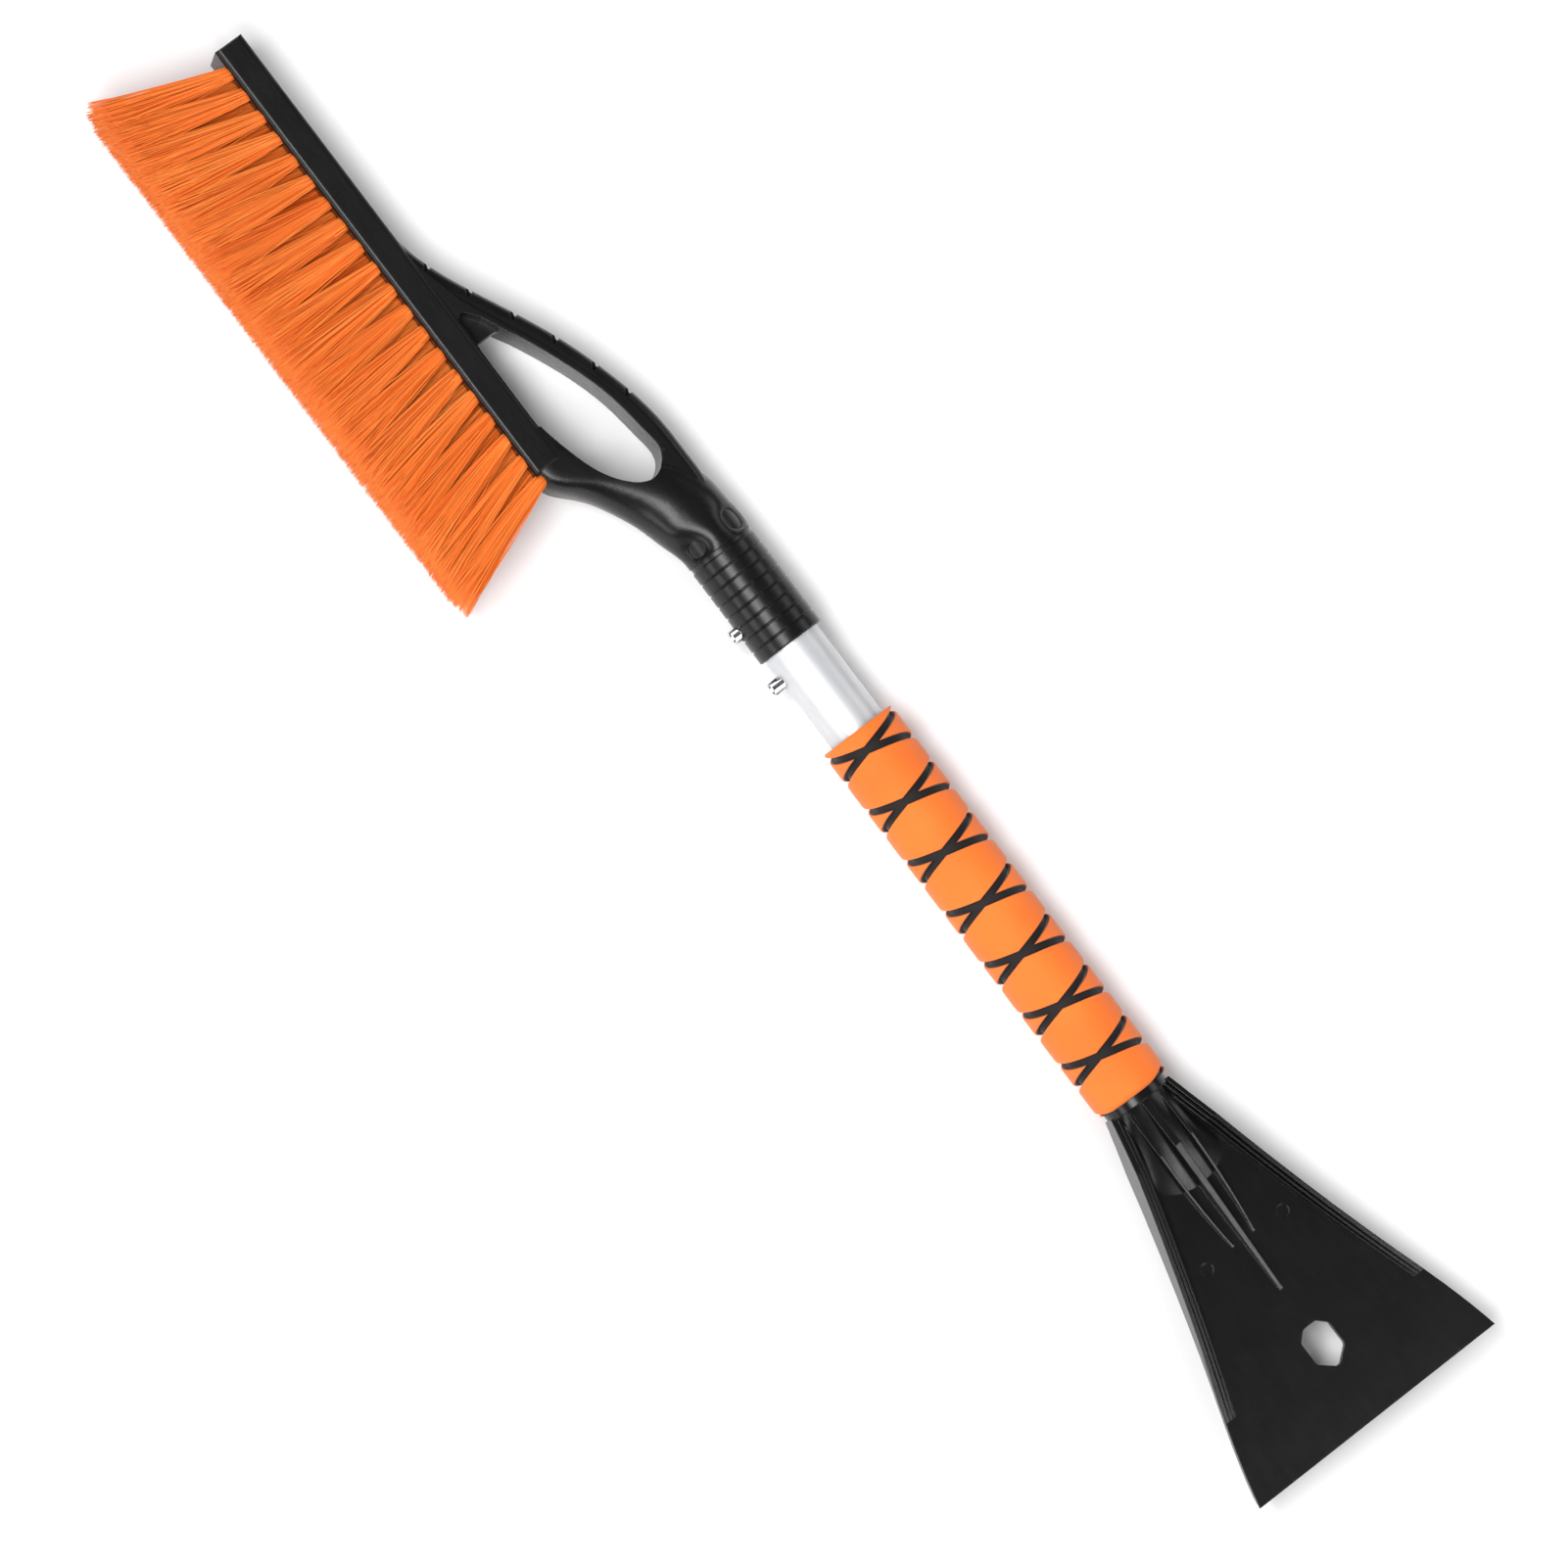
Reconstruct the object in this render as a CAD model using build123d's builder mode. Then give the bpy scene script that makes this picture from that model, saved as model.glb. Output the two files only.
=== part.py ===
from build123d import *
from math import copysign, cos, pi, sin
import os

os.makedirs("parts", exist_ok=True)

# A detachable snow brush with an ice scraper, lying on its broad side. Stations run along the
# tube from the brush's outermost tips to the scraping edge, and the tube's centreline is the
# datum for heights: +Y is the loop grip's side, -Y the bristle side, +Z up from the floor.
LENGTH = 685.8
X0 = -LENGTH / 2
AXIS_Y = 17.55
AXIS_Z = 16.0

# Handle tube and its two snap buttons
TUBE_R = 12.0
TUBE_BORE_R = 10.8
TUBE_START = 283.0
TUBE_END = 533.3
UPPER_STUD_X = 304.9
LOWER_STUD_X = 329.4
STUD_R = 3.0
STUD_TIP = 18.1
SPRING_FACE = 10.0
SPRING_T = 0.6
SPRING_W = 7.0

# Foam grip
FOAM_START = 360.8
FOAM_END = TUBE_END
CORE_R = 13.6
FOAM_R = 16.0
GROOVE_PITCH = 24.07
GROOVE_W = 3.1
FIRST_CROSSING = 368.9
CROSSING_TILT = 17.0

# Brush head
BAR_START = 12.6
BAR_END = 212.5
BAR_FACE = -41.5
BAR_BACK = -29.2
BAR_HALF = 13.6
ARC_HALF = 10.0
ARC_ROUND = 4.2
PANEL_HALF = 12.6
LIP_WIDTH = 2.0
LIP_HALF = 10.6
WEB_HALF = 4.0
NECK_R = 14.1
# Station, upper edge, lower edge, half thickness and squareness of the limb from the bar to the collar
LIMB_SECTIONS = (
    (198.0, -27.5, -41.3, 13.4, 7.0),
    (207.0, -24.0, -41.3, 13.4, 6.0),
    (214.0, -20.5, -41.1, 13.4, 5.0),
    (220.0, -16.5, -39.0, 13.3, 3.6),
    (226.0, -10.5, -34.0, 13.3, 2.6),
    (232.0, -2.0, -29.2, 13.4, 2.4),
    (240.0, 7.5, -24.8, 13.6, 2.2),
    (250.0, 12.6, -20.4, 13.8, 2.0),
    (262.0, 13.8, -16.8, 14.0, 2.0),
    (274.8, 14.1, -14.1, 14.1, 2.0),
)
COLLAR_START = 274.8
COLLAR_END = 319.4
COLLAR_BORE_R = 12.06
TAIL_START = 262.0
TAIL_R = 13.0
SOCKET_START = 256.5
RING_COUNT = 8
RING_PITCH = 5.35
RING_STEP = 0.5
STUD_HOLE_R = 3.3
WINDOW_ROUND = 2.6
POCKET_ROUND = 1.4
NICK_DEPTH = 0.9
NOTCH_FLOOR = 5.6
# Station, height and slope of each finger notch on the loop's back
NOTCHES = (
    (124.1, -24.6, 18),
    (140.7, -17.4, 26),
    (157.7, -9.2, 25),
    (174.3, -1.9, 21),
    (191.3, 4.2, 17),
    (206.8, 8.2, 12),
)

# Tufts
TUFT_TIP = -92.5
ROW_Z = (9.3, 3.1, -3.1, -9.3)
ROW_TIP_Z = (11.9, 4.0, -4.0, -11.9)
TUFTS_PER_ROW = 20
FIRST_TUFT = 22.2
LAST_TUFT = 214.0
FIRST_TIP = 5.7
LAST_TIP = 232.6
TUFT_ROOT = 5.4
TUFT_TIP_W = 11.4
TUFT_TIP_D = 7.6
TUFT_HOLE_R = 2.85
TUFT_HOLE_DEPTH = 8.6
STAPLE_H = 1.6

# Scraper
BLADE_END = LENGTH
BLADE_HALF = 57.4
PLATE_T = 3.4
NECK_FLANGE = 3.4
BLADE_NECK_R = 13.9
HOOD_MIDDLE = 552.0
HOOD_END = 578.0
RIDGE_END = 625.6
SIDE_RIDGE_END = 602.0
SIDE_RIDGE_Y = 7.3
HANG_X = 652.5
SPIGOT_START = 492.0
BEVEL = 4.5
EDGE_T = 1.4
EJECTOR_X = 602.6
EJECTOR_Y = 18.4
EJECTOR_R = 2.5
EJECTOR_DEPTH = 0.15


def flat(height=0.0):
    """The plane seen from above, at a height over the tube's centreline."""
    return Plane(origin=(X0, AXIS_Y, AXIS_Z + height))


def across(station):
    """The plane square to the tube, local x along +Y and local y along +Z."""
    return Plane(origin=(X0 + station, AXIS_Y, AXIS_Z), x_dir=(0, 1, 0), z_dir=(1, 0, 0))


def bristle_side(depth):
    """The plane facing the bristle side, local x along the tube and local y along +Z."""
    return Plane(origin=(X0, AXIS_Y + depth, AXIS_Z), x_dir=(1, 0, 0), z_dir=(0, -1, 0))


tube_axis = Axis((X0, AXIS_Y, AXIS_Z), (1, 0, 0))


# ---------------------------------------------------------------- handle tube

with BuildPart() as handle_tube:
    with BuildSketch(across(TUBE_START)):
        Circle(TUBE_R)
        Circle(TUBE_BORE_R, mode=Mode.SUBTRACT)
    extrude(amount=TUBE_END - TUBE_START)
    chamfer(handle_tube.edges().filter_by(GeomType.CIRCLE).group_by(Axis.X)[0], 0.3)
    with BuildSketch(bristle_side(0.0)):
        with Locations((UPPER_STUD_X, 0), (LOWER_STUD_X, 0)):
            Circle(STUD_R + 0.05)
    extrude(amount=TUBE_R + 1, mode=Mode.SUBTRACT)

handle_tube.part.label = "handle_tube"
export_step(handle_tube.part, "parts/handle_tube.step")


# ---------------------------------------------------------------- snap buttons

def snap_button(station):
    """A round-nosed steel stud standing out of the tube on the bristle side."""
    with BuildPart() as stud:
        with BuildSketch(bristle_side(-SPRING_FACE)):
            with Locations((station, 0)):
                Circle(STUD_R)
        extrude(amount=STUD_TIP - SPRING_FACE)
        fillet(stud.edges().sort_by(Axis.Y)[0], 1.4)
    return stud.part


def button_spring(station, bend):
    """The bent strip behind a button, its closed end on the bend side of it."""
    reach = SPRING_FACE - SPRING_T / 2
    with BuildPart() as strip:
        with BuildSketch(flat(-SPRING_W / 2)):
            with BuildLine():
                FilletPolyline(
                    (station - 6 * bend, -reach),
                    (station + 6 * bend, -reach),
                    (station + 19 * bend, 0),
                    (station - 6 * bend, reach),
                    radius=2.5,
                )
            trace(line_width=SPRING_T)
        extrude(amount=SPRING_W)
    return strip.part


upper_button = snap_button(UPPER_STUD_X)
upper_button.label = "upper_button"
export_step(upper_button, "parts/upper_button.step")

lower_button = snap_button(LOWER_STUD_X)
lower_button.label = "lower_button"
export_step(lower_button, "parts/lower_button.step")

upper_button_spring = button_spring(UPPER_STUD_X, -1)
upper_button_spring.label = "upper_button_spring"
export_step(upper_button_spring, "parts/upper_button_spring.step")

lower_button_spring = button_spring(LOWER_STUD_X, 1)
lower_button_spring.label = "lower_button_spring"
export_step(lower_button_spring, "parts/lower_button_spring.step")


# ---------------------------------------------------------------- foam grip

with BuildPart() as foam_core:
    with BuildSketch(across(FOAM_START)):
        Circle(CORE_R)
        Circle(TUBE_R, mode=Mode.SUBTRACT)
    extrude(amount=FOAM_END - FOAM_START)

foam_core.part.label = "foam_core"
export_step(foam_core.part, "parts/foam_core.step")


def groove_step(lefthand):
    """Half a turn of spiral groove, its walls standing square to the tube."""
    corners = (
        (CORE_R - 0.8, -GROOVE_W / 2),
        (CORE_R - 0.8, GROOVE_W / 2),
        (FOAM_R + 1.0, GROOVE_W / 2),
        (FOAM_R + 1.0, -GROOVE_W / 2),
    )
    rails = []
    for radius, offset in corners:
        rail = Helix(
            GROOVE_PITCH,
            GROOVE_PITCH * 0.505,
            radius,
            center=(offset, 0, 0),
            direction=(1, 0, 0),
            lefthand=lefthand,
        )
        rails.append(rail.edge())
    walls = [Face.make_surface_from_curves(rails[i], rails[(i + 1) % 4]) for i in range(4)]
    for end in (0, 1):
        walls.append(Face(Wire.make_polygon([rail @ end for rail in rails], close=True)))
    return Solid(Shell(walls))


with BuildPart() as foam_cover:
    with BuildSketch(across(FOAM_START)):
        Circle(FOAM_R)
        Circle(CORE_R, mode=Mode.SUBTRACT)
    extrude(amount=FOAM_END - FOAM_START)
    fillet(foam_cover.faces().sort_by(Axis.X)[0].outer_wire().edges(), 1.0)
    fillet(foam_cover.faces().sort_by(Axis.X)[-1].outer_wire().edges(), 2.2)
    for lefthand in (False, True):
        half_turn = groove_step(lefthand)
        for step in range(-2, 14):
            station = X0 + FIRST_CROSSING + step * GROOVE_PITCH / 2
            with Locations((station, AXIS_Y, AXIS_Z)):
                add(half_turn, rotation=(CROSSING_TILT + 180 * step, 0, 0), mode=Mode.SUBTRACT)

foam_cover.part.label = "foam_cover"
export_step(foam_cover.part, "parts/foam_cover.step")


# ---------------------------------------------------------------- ribbed collar

with BuildPart() as ribbed_collar:
    with BuildSketch(flat()) as wall:
        with BuildLine():
            Polyline(
                (TAIL_START, COLLAR_BORE_R),
                (COLLAR_END, COLLAR_BORE_R),
                (COLLAR_END, NECK_R - RING_STEP),
                (COLLAR_START, NECK_R - RING_STEP),
                (COLLAR_START, TAIL_R),
                (TAIL_START, TAIL_R),
                close=True,
            )
        make_face()
        for ring in range(RING_COUNT):
            middle = COLLAR_END - RING_PITCH * (ring + 0.5)
            with Locations((middle, NECK_R - 0.75)):
                RectangleRounded(RING_PITCH - 0.5, 1.5, 0.35)
    revolve(axis=tube_axis)
    chamfer(ribbed_collar.edges().filter_by(GeomType.CIRCLE).sort_by(Axis.X)[0], 0.4)
    with BuildSketch(bristle_side(0.0)):
        with Locations((UPPER_STUD_X, 0)):
            Circle(STUD_HOLE_R)
    extrude(amount=NECK_R + 2, mode=Mode.SUBTRACT)

ribbed_collar.part.label = "ribbed_collar"
export_step(ribbed_collar.part, "parts/ribbed_collar.step")


def tuft_places(row):
    """Root and tip stations of one row's tufts; every second row sits half a pitch along."""
    count = TUFTS_PER_ROW - row % 2
    shift = 0.5 * (row % 2)
    root_pitch = (LAST_TUFT - FIRST_TUFT) / (TUFTS_PER_ROW - 1)
    tip_pitch = (LAST_TIP - FIRST_TIP) / (TUFTS_PER_ROW - 1)
    places = []
    for column in range(count):
        root = FIRST_TUFT + (column + shift) * root_pitch
        tip = FIRST_TIP + (column + shift) * tip_pitch
        places.append((root, tip))
    return places


# ---------------------------------------------------------------- head frame

# The window's edge on the loop side, from the sharp corner round to the neck, then the bar side.
window_loop = ((161.8, -16.7), (170.6, -12.2), (188.3, -4.9), (206.1, 0.2), (223.8, 2.7), (232.7, 2.6))
window_bar = ((239.0, -5.8), (232.7, -16.3), (223.8, -21.8), (206.1, -27.2), (188.3, BAR_BACK))

with BuildPart() as tuft_bar:
    # Straight bar, back edges rounded, tuft face edged with a fine bevel, neck end rounded in plan
    with BuildSketch(across(BAR_START)) as section:
        with BuildLine():
            Polyline(
                (BAR_FACE, -BAR_HALF),
                (BAR_BACK, -BAR_HALF),
                (BAR_BACK, BAR_HALF),
                (BAR_FACE, BAR_HALF),
                close=True,
            )
        make_face()
        fillet(section.vertices().group_by(Axis.Y)[-1], 2.2)
        chamfer(section.vertices().group_by(Axis.Y)[0], 0.7)
    extrude(amount=BAR_END - BAR_START)
    with BuildSketch(bristle_side(BAR_BACK)) as plan:
        with Locations(((BAR_START + BAR_END) / 2, 0)):
            Rectangle(BAR_END - BAR_START, 2 * BAR_HALF + 1)
        fillet(plan.vertices().group_by(Axis.X)[0], 1.8)
        fillet(plan.vertices().group_by(Axis.X)[-1], 3.0)
    extrude(amount=40, both=True, mode=Mode.INTERSECT)

with BuildPart() as raised_face:
    # Side faces of the bar running up to the window, thinning to a lip along its loop side
    with BuildSketch(flat(-PANEL_HALF)):
        with BuildLine():
            lip = Spline(*[(station, height + LIP_WIDTH) for station, height in window_loop])
            Polyline(
                lip @ 1,
                (228.0, -10.0),
                (165.0, -22.0),
                (161.0, BAR_BACK - 1.0),
                (108.0, BAR_BACK - 1.0),
                (122.0, -28.8),
                (141.5, -24.0),
                (150.0, -20.2),
                (157.0, -16.9),
                lip @ 0,
            )
        make_face()
    extrude(amount=2 * PANEL_HALF)
    with BuildSketch(bristle_side(BAR_FACE)):
        Polygon(
            (100.0, PANEL_HALF),
            (157.0, PANEL_HALF),
            (186.0, LIP_HALF),
            (240.0, LIP_HALF),
            (240.0, -LIP_HALF),
            (186.0, -LIP_HALF),
            (157.0, -PANEL_HALF),
            (100.0, -PANEL_HALF),
            align=None,
        )
    extrude(amount=-60, mode=Mode.INTERSECT)


def oval(top, bottom, half, squareness):
    """Points round a section that is an ellipse at squareness 2 and nears a rectangle above it."""
    points = []
    for step in range(24):
        turn = 2 * pi * step / 24
        side = abs(cos(turn)) ** (2 / squareness)
        rise = abs(sin(turn)) ** (2 / squareness)
        along = (top + bottom) / 2 + copysign(side, cos(turn)) * (top - bottom) / 2
        points.append((along, copysign(rise, sin(turn)) * half))
    return points


with BuildPart() as head_frame:
    # Loop grip, its back edges well rounded, running out inside the neck
    with BuildSketch(flat(-ARC_HALF)):
        with BuildLine():
            Spline(
                (86.0, BAR_BACK - 0.3),
                (117.4, -26.6),
                (144.0, -15.9),
                (170.6, -3.3),
                (197.2, 5.8),
                (223.8, 10.7),
                (238.0, 11.0),
                (250.0, 10.8),
                (260.0, 6.0),
                tangents=((1, 0), (1, -0.8)),
            )
            Line((260.0, 6.0), (260.0, -6.0))
            Spline((260.0, -6.0), (240.0, -16.0), (226.0, -25.0), (212.0, -36.0))
            Polyline((212.0, -36.0), (86.0, -36.0), (86.0, BAR_BACK - 0.3))
        make_face()
    extrude(amount=2 * ARC_HALF)
    for face_height in (-ARC_HALF, ARC_HALF):
        rim = head_frame.edges().filter_by_position(Axis.Z, AXIS_Z + face_height - 0.01, AXIS_Z + face_height + 0.01)
        fillet(rim.sort_by(SortBy.LENGTH)[-1], ARC_ROUND)

    # Limb that leaves the bar square and rounds off into the neck
    for station, top, bottom, half, squareness in LIMB_SECTIONS:
        with BuildSketch(across(station)):
            with BuildLine():
                Spline(*oval(top, bottom, half, squareness), periodic=True)
            make_face()
    loft()
    add(tuft_bar.part)
    add(raised_face.part)
    with BuildSketch(bristle_side(BAR_FACE)):
        with Locations(((BAR_START + BAR_END) / 2, 0)):
            Rectangle(BAR_END - BAR_START + 80, 2 * BAR_HALF + 10)
    extrude(amount=10, mode=Mode.SUBTRACT)

    # Finger window right through, and the pocket each face makes into its sharp corner
    with BuildSketch(flat(-BAR_HALF - 1)) as window:
        with BuildLine():
            Polyline((188.3, BAR_BACK), (158.6, BAR_BACK), (158.6, -18.4), (161.8, -16.7))
            Spline(*window_loop, *window_bar, tangents=((0.86, 0.52), (-1, 0)))
        make_face()
        fillet(window.vertices().group_by(Axis.X)[0], WINDOW_ROUND)
    extrude(amount=2 * BAR_HALF + 2, mode=Mode.SUBTRACT)
    with BuildSketch(flat(WEB_HALF), flat(-BAR_HALF - 1)) as pocket:
        with BuildLine():
            Polyline((161.0, BAR_BACK), (147.5, BAR_BACK), (145.6, -26.6), (152.0, -21.6), (161.0, -17.2), close=True)
        make_face()
        fillet(pocket.vertices().sort_by(Axis.X)[:2], POCKET_ROUND)
    extrude(amount=BAR_HALF + 1 - WEB_HALF, mode=Mode.SUBTRACT)

    # Finger notches: a shallow nick across the loop's back, opening into a three-cornered pocket on each face
    for station, height, slope in NOTCHES:
        with BuildSketch(flat(-ARC_HALF - 1)):
            with Locations(Location((station, height, 0), (0, 0, slope))):
                Polygon((-1.9, 0.8), (1.0, 0.8), (1.0, -NICK_DEPTH), (0.2, -NICK_DEPTH), align=None)
        extrude(amount=2 * ARC_HALF + 2, mode=Mode.SUBTRACT)
        with BuildSketch(flat(-ARC_HALF - 1), flat(NOTCH_FLOOR)):
            with Locations(Location((station, height, 0), (0, 0, slope))):
                Polygon((-2.8, 0.8), (1.0, 0.8), (1.0, -3.4), (-0.2, -3.4), align=None)
        extrude(amount=ARC_HALF + 1 - NOTCH_FLOOR, mode=Mode.SUBTRACT)

    # Tuft holes
    with BuildSketch(bristle_side(BAR_FACE)):
        for row in range(len(ROW_Z)):
            for root, tip in tuft_places(row):
                with Locations((root, ROW_Z[row])):
                    Circle(TUFT_HOLE_R)
    extrude(amount=-TUFT_HOLE_DEPTH, mode=Mode.SUBTRACT)

    # Socket for the tube, with a wider mouth for the collar's tail
    with BuildSketch(across(SOCKET_START)):
        Circle(COLLAR_BORE_R)
    extrude(amount=COLLAR_START - SOCKET_START + 1, mode=Mode.SUBTRACT)
    with BuildSketch(across(TAIL_START)):
        Circle(TAIL_R + 0.02)
    extrude(amount=COLLAR_START - TAIL_START + 1, mode=Mode.SUBTRACT)

head_frame.part.label = "head_frame"
export_step(head_frame.part, "parts/head_frame.step")


# ---------------------------------------------------------------- tufts and their staples

def tuft(row, root, tip):
    """One flared tuft with its folded root sunk in the bar."""
    with BuildPart() as bunch:
        with BuildSketch(bristle_side(BAR_FACE)):
            with Locations((root, ROW_Z[row])):
                RectangleRounded(TUFT_ROOT, TUFT_ROOT, TUFT_ROOT / 2 - 0.1)
        with BuildSketch(bristle_side(TUFT_TIP)):
            with Locations((tip, ROW_TIP_Z[row])):
                RectangleRounded(TUFT_TIP_W, TUFT_TIP_D, 2.6)
        loft(ruled=True)
        with BuildSketch(bristle_side(BAR_FACE + TUFT_HOLE_DEPTH - STAPLE_H)):
            with Locations((root, ROW_Z[row])):
                Circle(TUFT_ROOT / 2 - 0.1)
        extrude(amount=TUFT_HOLE_DEPTH - STAPLE_H)
    return bunch.part


for row in range(len(ROW_Z)):
    bunches = [tuft(row, root, tip) for root, tip in tuft_places(row)]
    tuft_row = Compound(label=f"tuft_row_{row + 1}", children=bunches)
    export_step(tuft_row, f"parts/tuft_row_{row + 1}.step")

with BuildPart() as tuft_staples:
    with BuildSketch(bristle_side(BAR_FACE + TUFT_HOLE_DEPTH)):
        for row in range(len(ROW_Z)):
            for root, tip in tuft_places(row):
                with Locations((root, ROW_Z[row])):
                    Rectangle(2 * TUFT_HOLE_R - 0.8, 0.8)
    extrude(amount=STAPLE_H)

tuft_staples.part.label = "tuft_staples"
export_step(tuft_staples.part, "parts/tuft_staples.step")


# ---------------------------------------------------------------- ice scraper

# Half width of the blade against distance along the tool
BLADE_FLARE = (
    (TUBE_END + 2.4, 14.0),
    (559.9, 20.0),
    (590.9, 28.6),
    (621.9, 38.0),
    (652.9, 48.4),
    (BLADE_END, BLADE_HALF),
)
SIDE_RIDGE = (
    (TUBE_END + 2.4, SIDE_RIDGE_Y),
    (560.0, SIDE_RIDGE_Y + 0.1),
    (580.0, SIDE_RIDGE_Y - 0.4),
    (SIDE_RIDGE_END, 5.0),
)
MIDDLE_RIDGE = ((TUBE_END + 2.4, 0.0), (RIDGE_END, 0.0))


def standing_strip(line, near_half, far_half, high, rise=0.0):
    """A strip on both faces that follows a line, rises at its start and sinks in at its end."""
    start = line[0][0]
    end = line[-1][0]
    left = []
    right = []
    for station, side in line:
        half = near_half + (far_half - near_half) * (station - start) / (end - start)
        left.append((station, side + half))
        right.append((station, side - half))
    right.reverse()
    with BuildPart() as strip:
        with BuildSketch(flat(-high)):
            with BuildLine():
                Spline(*left)
                Line(left[-1], right[0])
                Spline(*right)
                Line(right[-1], left[0])
            make_face()
        extrude(amount=2 * high)
        with BuildSketch(bristle_side(BLADE_HALF + 5)):
            with BuildLine():
                Polyline(
                    (start - 1, high * (1 - rise)),
                    (start + 22, high),
                    (end, PLATE_T / 2),
                    (end, -PLATE_T / 2),
                    (start + 22, -high),
                    (start - 1, -high * (1 - rise)),
                    close=True,
                )
            make_face()
        extrude(amount=2 * BLADE_HALF + 10, mode=Mode.INTERSECT)
    return strip.part


def inset_flare(inset):
    """The flared side drawn in from the blade's outline, from the neck to the rim's end."""
    stations = [(station, half - inset) for station, half in BLADE_FLARE[:-1]]
    stations[0] = (TUBE_END + 2.4, 14.0 - inset)
    return stations


with BuildPart() as scraper_blade:
    # Flared plate
    with BuildSketch(flat(-PLATE_T / 2)):
        with BuildLine():
            Spline(*BLADE_FLARE)
            Line(BLADE_FLARE[-1], (BLADE_END, -BLADE_HALF))
            Spline(*[(station, -half) for station, half in reversed(BLADE_FLARE)])
            Line((TUBE_END + 2.4, -14.0), (TUBE_END + 2.4, 14.0))
        make_face()
    extrude(amount=PLATE_T)

    # Neck flange, and the hood that sinks from the neck into the plate
    with BuildSketch(across(TUBE_END)):
        Circle(BLADE_NECK_R)
    extrude(amount=NECK_FLANGE)
    with BuildSketch(across(TUBE_END + 1.0)):
        Circle(11.6)
    with BuildSketch(across(HOOD_MIDDLE)):
        Ellipse(15.6, 6.2)
    with BuildSketch(across(HOOD_END)):
        Ellipse(20.5, PLATE_T / 2 - 0.3)
    loft()

    # Three ridges on each face, and the stepped rims along the flared sides
    add(standing_strip(MIDDLE_RIDGE, 1.7, 0.8, 11.6, rise=-0.17))
    ridge_line = standing_strip(SIDE_RIDGE, 0.7, 0.5, 8.4, rise=-0.36)
    add(ridge_line)
    add(mirror(ridge_line, about=Plane(origin=(0, AXIS_Y, 0), z_dir=(0, 1, 0)), mode=Mode.PRIVATE))
    for inset, half, high in ((0.95, 0.95, 9.6), (2.95, 0.65, 8.6), (4.5, 0.5, 7.4)):
        rim = standing_strip(inset_flare(inset), half, half, high, rise=0.4)
        add(rim)
        add(mirror(rim, about=Plane(origin=(0, AXIS_Y, 0), z_dir=(0, 1, 0)), mode=Mode.PRIVATE))

    # Spigot inside the tube, cored out
    with BuildSketch(across(SPIGOT_START)):
        Circle(TUBE_BORE_R - 0.04)
    extrude(amount=TUBE_END - SPIGOT_START + 1)
    with BuildSketch(across(SPIGOT_START)):
        Circle(TUBE_BORE_R - 2.6)
    extrude(amount=TUBE_END - SPIGOT_START + 6, mode=Mode.SUBTRACT)

    # Hang hole, pointed toward the scraping edge and eased on both faces
    with BuildSketch(flat(-PLATE_T)):
        with BuildLine():
            Polyline(
                (HANG_X + 9.7, 0),
                (HANG_X + 4.0, 6.8),
                (HANG_X - 6.0, 6.8),
                (HANG_X - 9.7, 3.0),
                (HANG_X - 9.7, -3.0),
                (HANG_X - 6.0, -6.8),
                (HANG_X + 4.0, -6.8),
                close=True,
            )
        hole_face = make_face()
        fillet(hole_face.vertices(), 2.4)
    extrude(amount=2 * PLATE_T, mode=Mode.SUBTRACT)

    # Marks of the mould's ejector pins
    with BuildSketch(flat(PLATE_T / 2)):
        with Locations((EJECTOR_X, EJECTOR_Y), (EJECTOR_X, -EJECTOR_Y)):
            Circle(EJECTOR_R)
    extrude(amount=-EJECTOR_DEPTH, mode=Mode.SUBTRACT)

    # Scraping edge, bevelled from the under face
    with BuildSketch(bristle_side(BLADE_HALF + 5)):
        with BuildLine():
            Polyline(
                (BLADE_END - BEVEL, -PLATE_T / 2),
                (BLADE_END + 1, -PLATE_T / 2 - 1),
                (BLADE_END + 1, PLATE_T / 2 - EDGE_T + 0.4),
                (BLADE_END, PLATE_T / 2 - EDGE_T),
                close=True,
            )
        make_face()
    extrude(amount=2 * BLADE_HALF + 10, mode=Mode.SUBTRACT)

scraper_blade.part.label = "scraper_blade"
export_step(scraper_blade.part, "parts/scraper_blade.step")
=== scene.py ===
import math

import bmesh
import bpy
import numpy as np
from mathutils import Matrix, Vector


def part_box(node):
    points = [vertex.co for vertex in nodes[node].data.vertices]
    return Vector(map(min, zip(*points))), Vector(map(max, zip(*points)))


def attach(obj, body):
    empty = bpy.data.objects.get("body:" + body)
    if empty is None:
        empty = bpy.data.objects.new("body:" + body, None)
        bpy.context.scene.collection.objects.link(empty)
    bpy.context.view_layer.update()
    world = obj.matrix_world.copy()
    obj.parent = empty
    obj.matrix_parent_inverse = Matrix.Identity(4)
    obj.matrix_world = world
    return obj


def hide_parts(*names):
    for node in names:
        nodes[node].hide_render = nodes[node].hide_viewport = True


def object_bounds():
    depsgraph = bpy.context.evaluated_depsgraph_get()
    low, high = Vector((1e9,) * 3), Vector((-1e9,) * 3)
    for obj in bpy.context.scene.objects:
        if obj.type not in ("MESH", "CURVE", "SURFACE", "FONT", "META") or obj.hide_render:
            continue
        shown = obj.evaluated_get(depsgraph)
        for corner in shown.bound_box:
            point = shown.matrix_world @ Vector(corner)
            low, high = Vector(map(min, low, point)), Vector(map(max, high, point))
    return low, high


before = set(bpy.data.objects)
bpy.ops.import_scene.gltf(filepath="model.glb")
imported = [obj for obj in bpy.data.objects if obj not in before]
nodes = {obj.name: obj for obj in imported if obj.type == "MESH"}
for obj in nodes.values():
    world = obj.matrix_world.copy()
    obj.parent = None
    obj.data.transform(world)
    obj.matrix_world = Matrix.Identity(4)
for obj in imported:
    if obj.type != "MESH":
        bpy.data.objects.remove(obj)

cad_lo, cad_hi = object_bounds()
MM = 0.001

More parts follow.
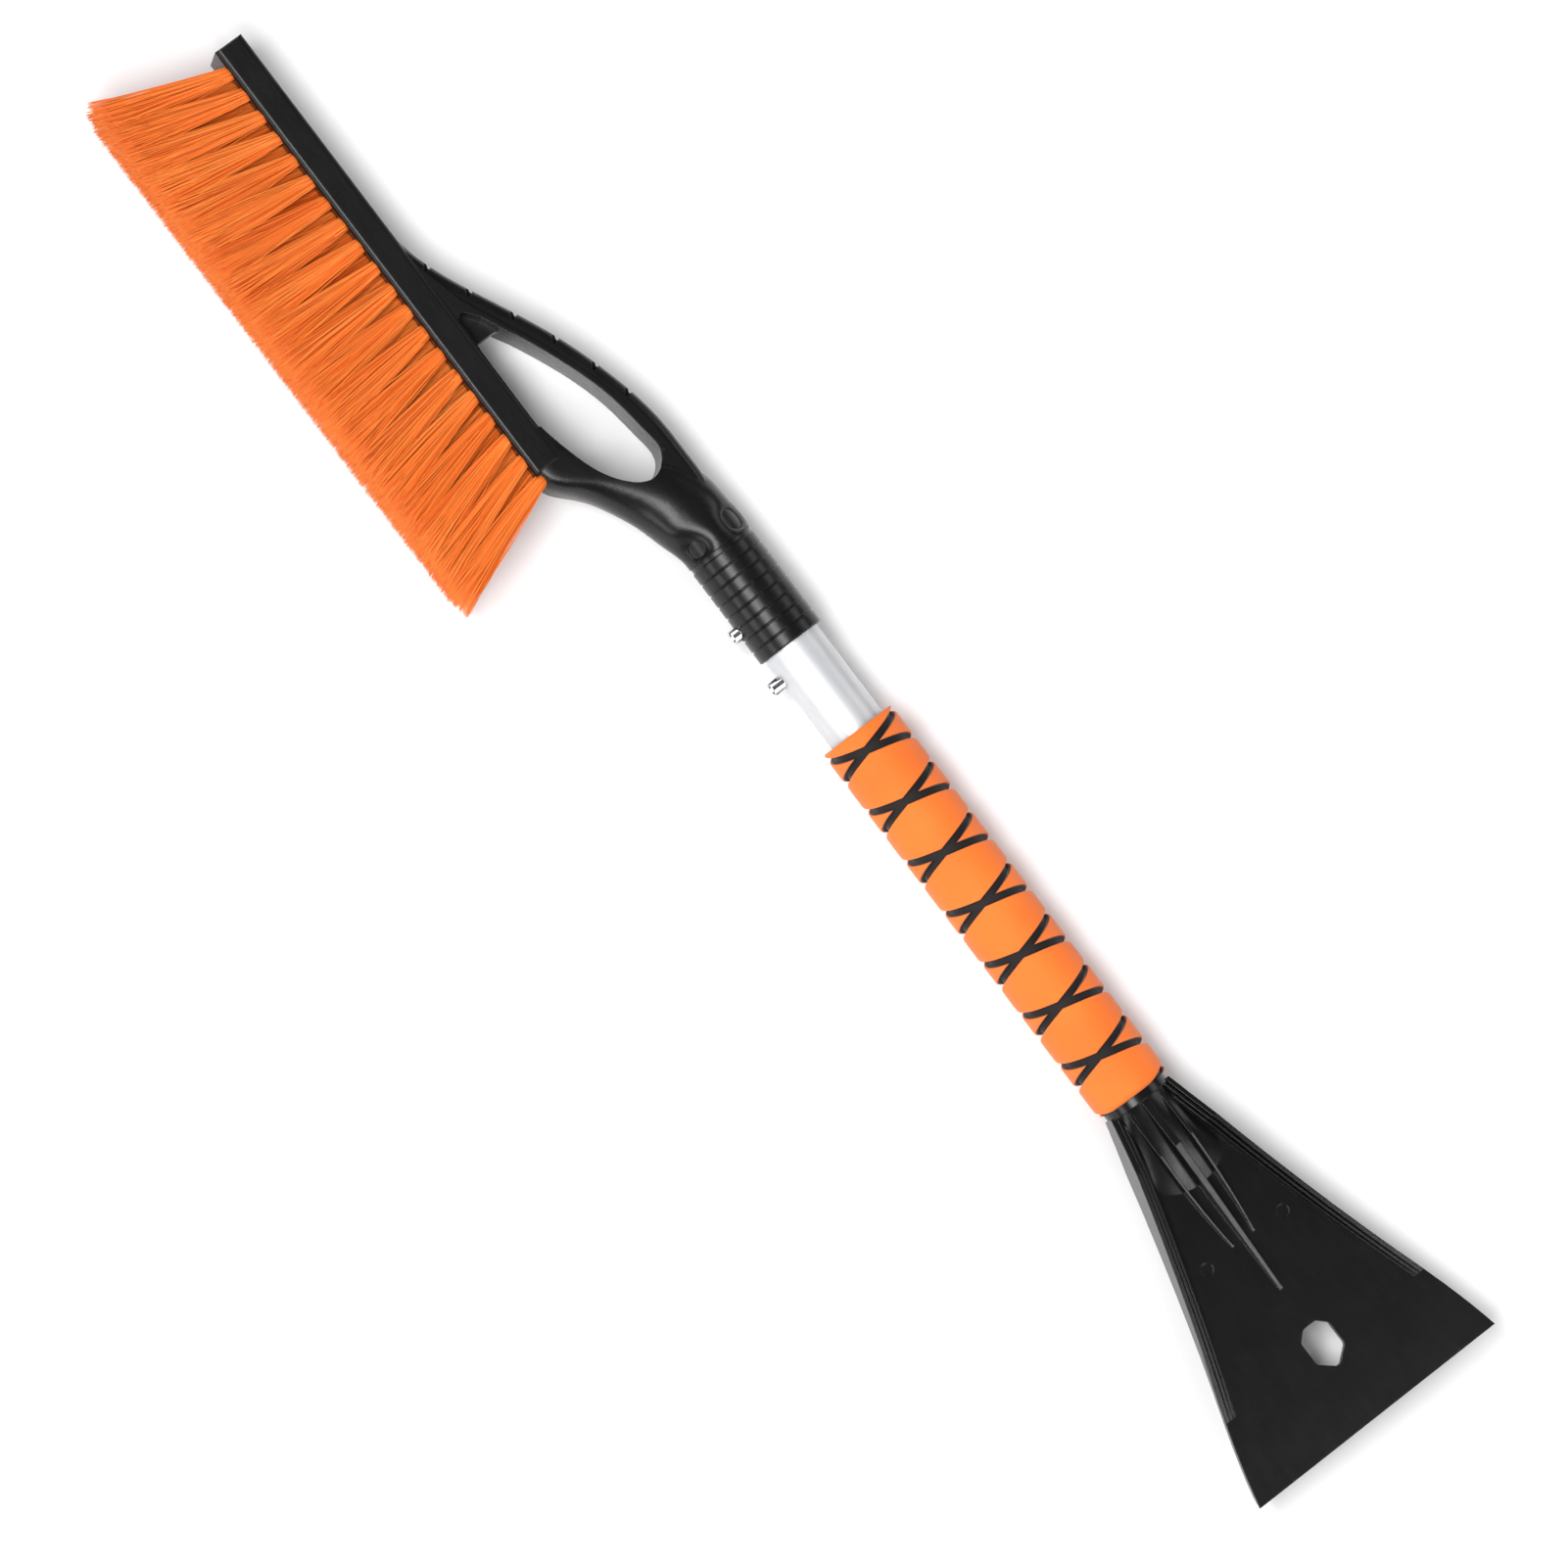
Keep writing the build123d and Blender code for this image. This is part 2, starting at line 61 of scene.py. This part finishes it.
# The tube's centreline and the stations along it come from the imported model
tube_lo, tube_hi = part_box("handle_tube")
AXIS_Y = (tube_lo.y + tube_hi.y) / 2
AXIS_Z = (tube_lo.z + tube_hi.z) / 2
START_X = cad_lo.x


# ---------------------------------------------------------------- camera

# The tool lies a little rolled toward the camera, and its length runs down the image to the right
ROLL = math.radians(10.0)
TURN = math.atan2(0.797, 0.604)
VIEW_DISTANCE = 3.0
VIEW_WIDTH = 0.591
SENSOR = 36.0
NEAR_CLIP = 0.01
AIM_X = 0.0174
AIM_Y = -0.0173
aim = Vector((AIM_X, AIM_Y, AXIS_Z))

across_tool = Vector((0, math.cos(ROLL), math.sin(ROLL)))
back = Vector((0, -math.sin(ROLL), math.cos(ROLL)))
right = math.cos(TURN) * Vector((1, 0, 0)) + math.sin(TURN) * across_tool
up = back.cross(right)

camera_data = bpy.data.cameras.new("camera")
camera_data.sensor_width = SENSOR
camera_data.lens = SENSOR * VIEW_DISTANCE / VIEW_WIDTH
camera_data.clip_start = NEAR_CLIP
camera = bpy.data.objects.new("camera", camera_data)
placing = Matrix((right, up, back)).transposed().to_4x4()
placing.translation = aim + back * VIEW_DISTANCE
camera.matrix_world = placing
bpy.context.scene.collection.objects.link(camera)
bpy.context.scene.camera = camera
bpy.context.scene.view_settings.view_transform = "Standard"


# ---------------------------------------------------------------- materials

def new_material(name):
    """A material with an empty Principled surface, and its node tree."""
    material = bpy.data.materials.new(name)
    material.use_nodes = True
    tree = material.node_tree
    shader = tree.nodes["Principled BSDF"]
    return material, tree, shader


def noise(tree, scale, detail=4.0, stretch=(1, 1, 1), roughness=0.5):
    """Noise in object space, in features per metre, stretched along any axis."""
    place = tree.nodes.new("ShaderNodeTexCoord")
    mapping = tree.nodes.new("ShaderNodeMapping")
    mapping.inputs["Scale"].default_value = stretch
    texture = tree.nodes.new("ShaderNodeTexNoise")
    texture.inputs["Scale"].default_value = scale
    texture.inputs["Detail"].default_value = detail
    texture.inputs["Roughness"].default_value = roughness
    tree.links.new(place.outputs["Object"], mapping.inputs["Vector"])
    tree.links.new(mapping.outputs["Vector"], texture.inputs["Vector"])
    return texture.outputs["Fac"]


def ramp(tree, source, *stops):
    """A colour ramp; each stop is a position and a colour."""
    node = tree.nodes.new("ShaderNodeValToRGB")
    elements = node.color_ramp.elements
    while len(elements) < len(stops):
        elements.new(0.5)
    for element, (position, colour) in zip(elements, stops):
        element.position = position
        element.color = (*colour, 1.0)
    tree.links.new(source, node.inputs["Fac"])
    return node.outputs["Color"]


def spread(tree, source, low, high, start=0.0, end=1.0):
    """Maps a value from start to end, 0 to 1 unless said, to a range."""
    node = tree.nodes.new("ShaderNodeMapRange")
    node.inputs["From Min"].default_value = start
    node.inputs["From Max"].default_value = end
    node.inputs["To Min"].default_value = low
    node.inputs["To Max"].default_value = high
    tree.links.new(source, node.inputs["Value"])
    return node.outputs["Result"]


def mix(tree, factor, first, second, blend="MIX"):
    """Mixes two colours or sockets."""
    node = tree.nodes.new("ShaderNodeMix")
    node.data_type = "RGBA"
    node.blend_type = blend
    for slot, value in (("Factor", factor), ("A", first), ("B", second)):
        socket = next(s for s in node.inputs if s.name == slot and s.enabled)
        if isinstance(value, bpy.types.NodeSocket):
            tree.links.new(value, socket)
        else:
            socket.default_value = value
    return next(s for s in node.outputs if s.enabled)


def bump(tree, shader, source, strength, distance, normal=None):
    """Adds a height to the shader's normal."""
    node = tree.nodes.new("ShaderNodeBump")
    node.inputs["Strength"].default_value = strength
    node.inputs["Distance"].default_value = distance
    tree.links.new(source, node.inputs["Height"])
    if normal is not None:
        tree.links.new(normal, node.inputs["Normal"])
    tree.links.new(node.outputs["Normal"], shader.inputs["Normal"])
    return node.outputs["Normal"]


def attribute(tree, name):
    """One of the mesh's own values."""
    node = tree.nodes.new("ShaderNodeAttribute")
    node.attribute_name = name
    return node.outputs["Fac"]


BEVEL_SAMPLES = 6
EDGE_RADIUS = 0.6 * MM


def soft_edges(tree, radius):
    """The normal of a surface whose sharp edges are broken to a small radius."""
    node = tree.nodes.new("ShaderNodeBevel")
    node.samples = BEVEL_SAMPLES
    node.inputs["Radius"].default_value = radius
    return node.outputs["Normal"]


def moulded_plastic(name, dark, light, rough, grain, scuffs, edge):
    """Black injection moulding: fine spark-eroded grain, faint flow marks and handling scuffs."""
    material, tree, shader = new_material(name)
    mottle = noise(tree, 60, detail=5)
    streaks = noise(tree, 420, detail=6, stretch=(0.2, 1, 1), roughness=0.6)
    colour = ramp(tree, mottle, (0.3, dark), (0.75, light))
    rubbed = ramp(tree, streaks, (0.55, (0, 0, 0)), (0.80, (1, 1, 1)))
    worn = spread(tree, rubbed, 0.0, scuffs)
    pale = tuple(min(1.0, 3.2 * part) for part in light)
    tree.links.new(mix(tree, worn, colour, (*pale, 1)), shader.inputs["Base Color"])
    tree.links.new(spread(tree, streaks, rough - 0.04, rough + 0.05), shader.inputs["Roughness"])
    shader.inputs["Specular IOR Level"].default_value = 0.32
    pits = noise(tree, 2600, detail=2)
    swell = noise(tree, 45, detail=2)
    first = bump(tree, shader, pits, grain, 0.00012, normal=soft_edges(tree, edge))
    bump(tree, shader, swell, 0.12, 0.0005, normal=first)
    return material


def grip_plastic():
    """The brush head's plastic, the rougher of the two."""
    return moulded_plastic(
        "black_grip_plastic",
        dark=(0.0038, 0.0038, 0.0042),
        light=(0.0062, 0.0062, 0.0067),
        rough=0.27,
        grain=0.3,
        scuffs=0.05,
        edge=EDGE_RADIUS,
    )


def scraper_plastic():
    """The scraper's plastic, smoother and a little glossier."""
    return moulded_plastic(
        "black_scraper_plastic",
        dark=(0.0036, 0.0036, 0.0039),
        light=(0.0056, 0.0056, 0.0060),
        rough=0.22,
        grain=0.12,
        scuffs=0.03,
        edge=EDGE_RADIUS,
    )


def aluminium():
    """Drawn tube: fine lines along its length, a satin anodised look and a few handling marks."""
    material, tree, shader = new_material("aluminium_tube")
    lines = noise(tree, 2200, detail=3, stretch=(0.015, 1, 1))
    clouds = noise(tree, 40, detail=4)
    marks = noise(tree, 300, detail=6, stretch=(0.5, 1, 1), roughness=0.7)
    base = ramp(tree, clouds, (0.3, (0.58, 0.59, 0.61)), (0.7, (0.66, 0.66, 0.67)))
    nick = spread(tree, ramp(tree, marks, (0.66, (0, 0, 0)), (0.72, (1, 1, 1))), 0.0, 0.25)
    tree.links.new(mix(tree, nick, base, (0.55, 0.55, 0.57, 1)), shader.inputs["Base Color"])
    shader.inputs["Metallic"].default_value = 0.6
    tree.links.new(spread(tree, lines, 0.38, 0.52), shader.inputs["Roughness"])
    shader.inputs["Anisotropic"].default_value = 0.4
    bump(tree, shader, lines, 0.12, 0.00008)
    return material


def steel(name, light, rough, stretch):
    """Plated or drawn steel with fine marks."""
    material, tree, shader = new_material(name)
    lines = noise(tree, 1800, detail=3, stretch=stretch)
    dark = tuple(part * 0.72 for part in light)
    tree.links.new(ramp(tree, lines, (0.35, dark), (0.6, light)), shader.inputs["Base Color"])
    shader.inputs["Metallic"].default_value = 1.0
    tree.links.new(spread(tree, lines, rough * 0.7, rough * 1.4), shader.inputs["Roughness"])
    bump(tree, shader, lines, 0.15, 0.00006)
    return material


SKIN = 0.8 * MM


def foam(name, low, high, pore_depth, under=None):
    """Closed-cell foam with fine pores and a faint sheen; below the skin its cut walls turn near-black, for
    the black layer under the skin plus painted shade in the grooves.
    """
    material, tree, shader = new_material(name)
    drift = noise(tree, 35, detail=3)
    cells = noise(tree, 1500, detail=3, roughness=0.6)
    drifting = ramp(tree, drift, (0.3, low), (0.7, high))
    speckled = ramp(tree, cells, (0.35, low), (0.65, high))
    tone = mix(tree, 0.22, drifting, speckled)
    if under is not None:
        # Below the skin depth the colour goes to the near-black reddish one: the black layer under the skin,
        # plus painted shade on the groove walls
        cut = spread(tree, attribute(tree, "depth"), 0.0, 1.0, start=SKIN * 0.7, end=SKIN * 1.2)
        tone = mix(tree, cut, tone, (*under, 1))
    tree.links.new(tone, shader.inputs["Base Color"])
    tree.links.new(spread(tree, cells, 0.62, 0.8), shader.inputs["Roughness"])
    shader.inputs["Specular IOR Level"].default_value = 0.3
    shader.inputs["Sheen Weight"].default_value = 0.12
    shader.inputs["Sheen Roughness"].default_value = 0.5
    bump(tree, shader, cells, pore_depth, 0.00015)
    return material


def bristle():
    """Drawn filament: its tone differs from strand to strand, and toward the tip it is mixed to a duller,
    darker orange, for worn tips plus painted shade on the tip band.
    """
    material, tree, shader = new_material("orange_bristle")
    strand = attribute(tree, "strand")
    along = attribute(tree, "along")
    deep = (0.70, 0.100, 0.010)
    middle = (1.0, 0.220, 0.028)
    bright = (1.0, 0.340, 0.065)
    tone = ramp(tree, strand, (0.0, deep), (0.45, middle), (1.0, bright))
    # The last part of each strand is mixed toward a duller, darker orange: tip wear, plus painted shade on
    # the tip band
    worn = ramp(tree, along, (0.0, (0, 0, 0)), (0.88, (0.03, 0.03, 0.03)), (1.0, (0.26, 0.26, 0.26)))
    tree.links.new(mix(tree, worn, tone, (0.72, 0.20, 0.05, 1)), shader.inputs["Base Color"])
    tree.links.new(spread(tree, strand, 0.30, 0.44), shader.inputs["Roughness"])
    shader.inputs["Specular IOR Level"].default_value = 0.35
    return material


def paint(names, material):
    """Gives CAD nodes their finish in place of the plain one."""
    for name in names:
        slots = nodes[name].data.materials
        slots.clear()
        slots.append(material)


paint(("head_frame", "ribbed_collar"), grip_plastic())
paint(("scraper_blade",), scraper_plastic())
paint(("handle_tube",), aluminium())
BRIGHT_PLATE = (0.83, 0.83, 0.84)
OILED_STRIP = (0.42, 0.42, 0.44)
DRAWN_WIRE = (0.55, 0.55, 0.56)
paint(("upper_button", "lower_button"), steel("plated_button", BRIGHT_PLATE, 0.16, (1, 0.2, 1)))
paint(("upper_button_spring", "lower_button_spring"), steel("spring_strip", OILED_STRIP, 0.34, (0.1, 1, 1)))
paint(("tuft_staples",), steel("staple_wire", DRAWN_WIRE, 0.3, (0.1, 1, 1)))


def add_piece(name, mesh, material, body):
    """Links a mesh as a named piece that rides on a body."""
    piece = bpy.data.objects.new(name, mesh)
    bpy.context.scene.collection.objects.link(piece)
    mesh.materials.append(material)
    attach(piece, body)
    return piece


# ---------------------------------------------------------------- bristles

FILAMENTS = 196
STRAYS = 4
FILAMENT_R = 0.185 * MM
ROOT_R = 2.6 * MM
ROOT_SUNK = 3.0 * MM
TIP_HALF = (5.7 * MM, 3.8 * MM)
INNER_SPREAD = 7.6 * MM
SIDES = 3
STEPS = np.array((0.0, 0.08, 0.27, 0.50, 0.72, 0.90, 1.0))
TAPER = np.array((1.0, 1.0, 1.0, 0.97, 0.92, 0.80, 0.45))


def tuft_roots(node):
    """The middle of each tuft where it enters the bar, from the node's folded ends."""
    points = np.array([v.co for v in nodes[node].data.vertices])
    ends = points[points[:, 1] > points[:, 1].max() - 0.2 * MM]
    stations = np.sort(ends[:, 0])
    cuts = np.nonzero(np.diff(stations) > 1.5 * MM)[0] + 1
    groups = np.split(stations, cuts)
    height = (ends[:, 2].min() + ends[:, 2].max()) / 2
    return [((group[0] + group[-1]) / 2, height) for group in groups]


def bristle_row(name, node, seed, material):
    """All the filaments of one row of tufts, each a thin tapered strand flaring from its hole."""
    rng = np.random.default_rng(seed)
    lo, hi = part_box(node)
    bar_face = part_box("head_frame")[0].y
    roots = tuft_roots(node)
    count = len(roots)
    tips = np.linspace(lo.x + TIP_HALF[0], hi.x - TIP_HALF[0], count)
    on_top = roots[0][1] > AXIS_Z
    tip_height = hi.z - TIP_HALF[1] if on_top else lo.z + TIP_HALF[1]

    each = FILAMENTS + STRAYS
    total = count * each
    order = np.tile(np.arange(each), count)
    tuft = np.repeat(np.arange(count), each)
    stray = order >= FILAMENTS
    radius = np.sqrt((np.minimum(order, FILAMENTS - 1) + 0.5) / FILAMENTS)
    angle = order * math.pi * (3 - math.sqrt(5)) + np.repeat(rng.uniform(0, 6.28, count), each)
    cos, sin = np.cos(angle), np.sin(angle)
    square = 1 / (np.abs(cos) ** 3 + np.abs(sin) ** 3) ** (1 / 3)

    root_x = np.array([r[0] for r in roots])[tuft] + radius * cos * ROOT_R
    root_z = roots[0][1] + radius * sin * ROOT_R
    lean = np.repeat(rng.normal(0, 0.4 * MM, count), each)
    outermost = ((tuft == 0) & (cos < 0)) | ((tuft == count - 1) & (cos > 0))
    spread_x = np.where(outermost, TIP_HALF[0], INNER_SPREAD)
    tip_x = tips[tuft] + lean + radius * cos * square * spread_x
    tip_x += rng.normal(0, 0.4 * MM, total) + stray * ~outermost * rng.normal(0, 3.2 * MM, total)
    tip_z = tip_height + radius * sin * square * TIP_HALF[1] + rng.normal(0, 0.3 * MM, total)
    length = bar_face - lo.y + ROOT_SUNK
    reach = length + rng.normal(0, 0.35 * MM, total) - rng.exponential(0.45 * MM, total)

    bow = rng.normal(0, 0.55 * MM, (2, total))
    wave = rng.normal(0, 0.10 * MM, (2, total, len(STEPS)))
    swing = np.sin(np.pi * STEPS)
    flare = STEPS ** 1.12
    x = root_x[:, None] + (tip_x - root_x)[:, None] * flare + bow[0][:, None] * swing + wave[0] * flare
    z = root_z[:, None] + (tip_z - root_z)[:, None] * flare + bow[1][:, None] * swing + wave[1] * flare
    z = np.clip(z, cad_lo.z + 0.3 * MM, cad_hi.z - 0.3 * MM)
    y = bar_face + ROOT_SUNK - reach[:, None] * STEPS

    turn = np.arange(SIDES) * 2 * math.pi / SIDES + math.pi / 4
    thick = FILAMENT_R * rng.uniform(0.82, 1.12, total)[:, None] * TAPER
    ring_x = x[:, :, None] + thick[:, :, None] * np.cos(turn)
    ring_z = z[:, :, None] + thick[:, :, None] * np.sin(turn)
    ring_y = np.broadcast_to(y[:, :, None], ring_x.shape)
    points = np.stack((ring_x, ring_y, ring_z), axis=-1).reshape(-1, 3)

    rings = len(STEPS)
    base = (np.arange(total) * rings * SIDES)[:, None, None]
    ring = (np.arange(rings - 1) * SIDES)[None, :, None]
    side = np.arange(SIDES)[None, None, :]
    after = (side + 1) % SIDES
    walls = np.stack(
        (base + ring + side, base + ring + after, base + ring + SIDES + after, base + ring + SIDES + side),
        axis=-1,
    ).reshape(-1, 4)
    last = (np.arange(total) * rings * SIDES + (rings - 1) * SIDES)[:, None]
    tip_ends = last + np.arange(SIDES)[None, :]
    root_ends = (np.arange(total) * rings * SIDES)[:, None] + np.arange(SIDES - 1, -1, -1)[None, :]
    ends = np.concatenate((tip_ends, root_ends))
    corners = np.concatenate((walls.ravel(), ends.ravel()))
    wall_starts = np.arange(len(walls)) * 4
    end_starts = walls.size + np.arange(len(ends)) * SIDES
    starts = np.concatenate((wall_starts, end_starts))

    mesh = bpy.data.meshes.new(name)
    mesh.vertices.add(len(points))
    mesh.vertices.foreach_set("co", points.ravel())
    mesh.loops.add(len(corners))
    mesh.loops.foreach_set("vertex_index", corners)
    mesh.polygons.add(len(starts))
    mesh.polygons.foreach_set("loop_start", starts)
    mesh.update(calc_edges=True)
    mesh.polygons.foreach_set("use_smooth", np.ones(len(starts), bool))
    tone = np.clip(rng.normal(0.5, 0.27, total) + np.repeat(rng.normal(0, 0.06, count), each), 0, 1)
    strand = mesh.attributes.new("strand", "FLOAT", "POINT")
    strand.data.foreach_set("value", np.repeat(tone, rings * SIDES))
    along = mesh.attributes.new("along", "FLOAT", "POINT")
    along.data.foreach_set("value", np.tile(np.repeat(STEPS, SIDES), total))
    mesh.validate()

    piece = add_piece(name, mesh, material, "brush_head")
    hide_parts(node)
    return piece


bristle_material = bristle()
for row in range(1, 5):
    bristle_row(f"bristle_row_{row}", f"tuft_row_{row}", 40 + row, bristle_material)


# ---------------------------------------------------------------- foam grip

foam_lo, foam_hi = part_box("foam_cover")
core_lo, core_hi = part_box("foam_core")
FOAM_R = (foam_hi.z - foam_lo.z) / 2
CORE_R = (core_hi.z - core_lo.z) / 2
CORE_BORE = (tube_hi.z - tube_lo.z) / 2
GROOVE_PITCH = 24.07 * MM
GROOVE_HALF = 1.55 * MM
FIRST_CROSSING = START_X + 368.9 * MM
CROSSING_TILT = math.radians(17.0)
FRONT_ROUND = 1.0 * MM
REAR_ROUND = 2.2 * MM
EDGE_ROUND = 0.55 * MM
PAD_STEPS = 36
PAD_CROWN = 0.18 * MM
PAD_SETTLE = 0.12 * MM
FIRST_ROW = -2
LAST_ROW = 14


def around(station, angle, radius):
    """A point on a circle round the tube; angle 0 faces up and grows toward the bristle side."""
    return Vector((station, AXIS_Y - radius * math.sin(angle), AXIS_Z + radius * math.cos(angle)))


def end_round(station, near, reach):
    """How much the rounded end of the sleeve draws in at a station."""
    depth = reach - abs(station - near)
    if depth <= 0:
        return 0.0
    depth = min(depth, reach)
    return reach - math.sqrt(max(reach * reach - depth * depth, 0.0))


def pad_lines():
    """Places across a pad: its lower edge, its upper edge, the rounding, then even steps inside."""
    inset = GROOVE_HALF / GROOVE_PITCH
    width = 1 - 2 * inset
    rounding = [EDGE_ROUND * share / (GROOVE_PITCH * 0.9) for share in (0.0, 0.12, 0.35, 0.65, 1.0)]
    inner = np.linspace(rounding[-1], width - rounding[-1], PAD_STEPS)[1:-1]
    edge = [EDGE_ROUND, EDGE_ROUND * 0.55, EDGE_ROUND * 0.22, EDGE_ROUND * 0.06, 0.0]
    near = [(0.0, None)] + list(zip(rounding, edge))
    far = [(width - place, drop) for place, drop in reversed(near)]
    lines = near + [(place, 0.0) for place in inner] + far
    return [(inset + place, drop) for place, drop in lines]


def pad_mesh(row, lines, shape):
    """Adds the diamond between two crossings to the bmesh, as a closed shell bent round the core."""
    size = len(lines)
    first = row // 2
    second = row - first
    middle = math.pi * (second - first)
    tops = {}
    floors = {}
    for i, (a, drop_a) in enumerate(lines):
        for j, (b, drop_b) in enumerate(lines):
            station = FIRST_CROSSING + GROOVE_PITCH * (first + a + second + b) / 2
            angle = middle + math.pi * (b - a) + CROSSING_TILT
            if drop_a is None or drop_b is None:
                radius = CORE_R
            else:
                radius = FOAM_R - max(drop_a, drop_b)
            crown = PAD_CROWN * math.sin(math.pi * a) * math.sin(math.pi * b)
            settle = PAD_SETTLE * (drop_a is not None)
            tops[i, j] = shape.verts.new(around(station, angle, radius - settle + crown * (radius > CORE_R)))
            floors[i, j] = shape.verts.new(around(station, angle, CORE_R))
    for i in range(size - 1):
        for j in range(size - 1):
            shape.faces.new((tops[i, j], tops[i, j + 1], tops[i + 1, j + 1], tops[i + 1, j]))
            shape.faces.new((floors[i, j], floors[i + 1, j], floors[i + 1, j + 1], floors[i, j + 1]))


def foam_cover():
    """The orange outer foam: diamonds between two crossing spiral grooves, cut off at both ends."""
    shape = bmesh.new()
    lines = pad_lines()
    for row in range(FIRST_ROW, LAST_ROW + 1):
        pad_mesh(row, lines, shape)
    bmesh.ops.remove_doubles(shape, verts=shape.verts, dist=0.02 * MM)
    for station, side in ((foam_lo.x, -1), (foam_hi.x, 1)):
        geometry = list(shape.verts) + list(shape.edges) + list(shape.faces)
        cut = bmesh.ops.bisect_plane(
            shape,
            geom=geometry,
            plane_co=(station, 0, 0),
            plane_no=(side, 0, 0),
            clear_outer=True,
        )
        rim = [part for part in cut["geom_cut"] if isinstance(part, bmesh.types.BMEdge)]
        bmesh.ops.holes_fill(shape, edges=rim, sides=0)
    depth = shape.verts.layers.float.new("depth")
    for vertex in shape.verts:
        offset = Vector((0, vertex.co.y - AXIS_Y, vertex.co.z - AXIS_Z))
        radius = offset.length
        drawn = max(
            end_round(vertex.co.x, foam_lo.x, FRONT_ROUND),
            end_round(vertex.co.x, foam_hi.x, REAR_ROUND),
        )
        limit = max(FOAM_R - drawn, CORE_R + 0.3 * MM)
        vertex[depth] = max(limit - radius, 0.0)
        if radius > limit:
            vertex.co = Vector((vertex.co.x, AXIS_Y, AXIS_Z)) + offset * (limit / radius)
    bmesh.ops.recalc_face_normals(shape, faces=shape.faces)
    for face in shape.faces:
        face.smooth = True
    mesh = bpy.data.meshes.new("foam_grip_cover")
    shape.to_mesh(mesh)
    shape.free()
    return mesh


def foam_sleeve():
    """The black inner foam, a turned sleeve with a slightly uneven skin."""
    rng = np.random.default_rng(7)
    shape = bmesh.new()
    segments = 96
    profile = [(core_lo.x, CORE_BORE), (core_lo.x, CORE_R - 0.3 * MM), (core_lo.x + 0.3 * MM, CORE_R)]
    for station in np.linspace(core_lo.x + 2 * MM, core_hi.x - 2 * MM, 120):
        profile.append((station, CORE_R))
    profile += [(core_hi.x - 0.3 * MM, CORE_R), (core_hi.x, CORE_R - 0.3 * MM), (core_hi.x, CORE_BORE)]
    rings = []
    for station, radius in profile:
        uneven = 0.04 * MM if radius == CORE_R else 0.0
        ring = []
        for k in range(segments):
            angle = 2 * math.pi * k / segments
            ring.append(shape.verts.new(around(station, angle, radius - uneven * rng.random())))
        rings.append(ring)
    rings.append(rings[0])
    for one, two in zip(rings, rings[1:]):
        for k in range(segments):
            shape.faces.new((one[k], one[(k + 1) % segments], two[(k + 1) % segments], two[k]))
    bmesh.ops.recalc_face_normals(shape, faces=shape.faces)
    for face in shape.faces:
        face.smooth = True
    mesh = bpy.data.meshes.new("foam_grip_core")
    shape.to_mesh(mesh)
    shape.free()
    return mesh


orange_foam = foam(
    "orange_foam",
    low=(0.80, 0.150, 0.016),
    high=(0.88, 0.185, 0.022),
    pore_depth=0.35,
    # Groove-wall colour: the black layer under the skin tinted red with painted shade
    under=(0.016, 0.005, 0.004),
)
black_foam = foam("black_foam", low=(0.007, 0.005, 0.005), high=(0.014, 0.010, 0.010), pore_depth=0.5)
cover = add_piece("foam_grip_cover", foam_cover(), orange_foam, "handle")
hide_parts("foam_cover")
core = add_piece("foam_grip_core", foam_sleeve(), black_foam, "handle")
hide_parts("foam_core")


# ---------------------------------------------------------------- floor and light

def floor():
    """A plain pale floor just under the tool."""
    mesh = bpy.data.meshes.new("floor")
    shape = bmesh.new()
    bmesh.ops.create_grid(shape, x_segments=8, y_segments=8, size=4.0)
    shape.to_mesh(mesh)
    shape.free()
    material, tree, shader = new_material("pale_floor")
    tone = noise(tree, 3, detail=2)
    pale = ramp(tree, tone, (0.2, (0.86, 0.86, 0.87)), (0.8, (0.89, 0.89, 0.90)))
    tree.links.new(pale, shader.inputs["Base Color"])
    shader.inputs["Roughness"].default_value = 0.9
    shader.inputs["Specular IOR Level"].default_value = 0.1
    mesh.materials.append(material)
    piece = bpy.data.objects.new("floor", mesh)
    piece.location = (0, 0, cad_lo.z - 0.3 * MM)
    bpy.context.scene.collection.objects.link(piece)


def area_light(name, place, width, height, power):
    """A soft box aimed at the tool."""
    data = bpy.data.lights.new(name, "AREA")
    data.shape = "RECTANGLE"
    data.size = width
    data.size_y = height
    data.energy = power
    lamp = bpy.data.objects.new(name, data)
    lamp.location = place
    lamp.rotation_euler = (aim - Vector(place)).to_track_quat("-Z", "Y").to_euler()
    bpy.context.scene.collection.objects.link(lamp)


floor()
area_light("key", (-0.12, -0.56, 1.3), 1.3, 0.5, 23.0)
area_light("side", (-0.05, -1.3, 0.5), 1.3, 0.4, 6.0)
area_light("fill", (0.35, 1.15, 0.75), 1.4, 0.5, 4.5)
area_light("brush_end", (-1.3, 0.1, 0.8), 0.6, 0.9, 5.0)
area_light("scraper_end", (1.35, 0.0, 0.7), 0.6, 0.9, 5.0)
area_light("ridge_glint", (0.80, 0.25, 1.30), 0.25, 0.25, 2.4)

world = bpy.data.worlds.new("studio")
world.use_nodes = True
background = world.node_tree.nodes["Background"]
background.inputs["Color"].default_value = (1.0, 1.0, 1.0, 1.0)
background.inputs["Strength"].default_value = 0.12
bpy.context.scene.world = world
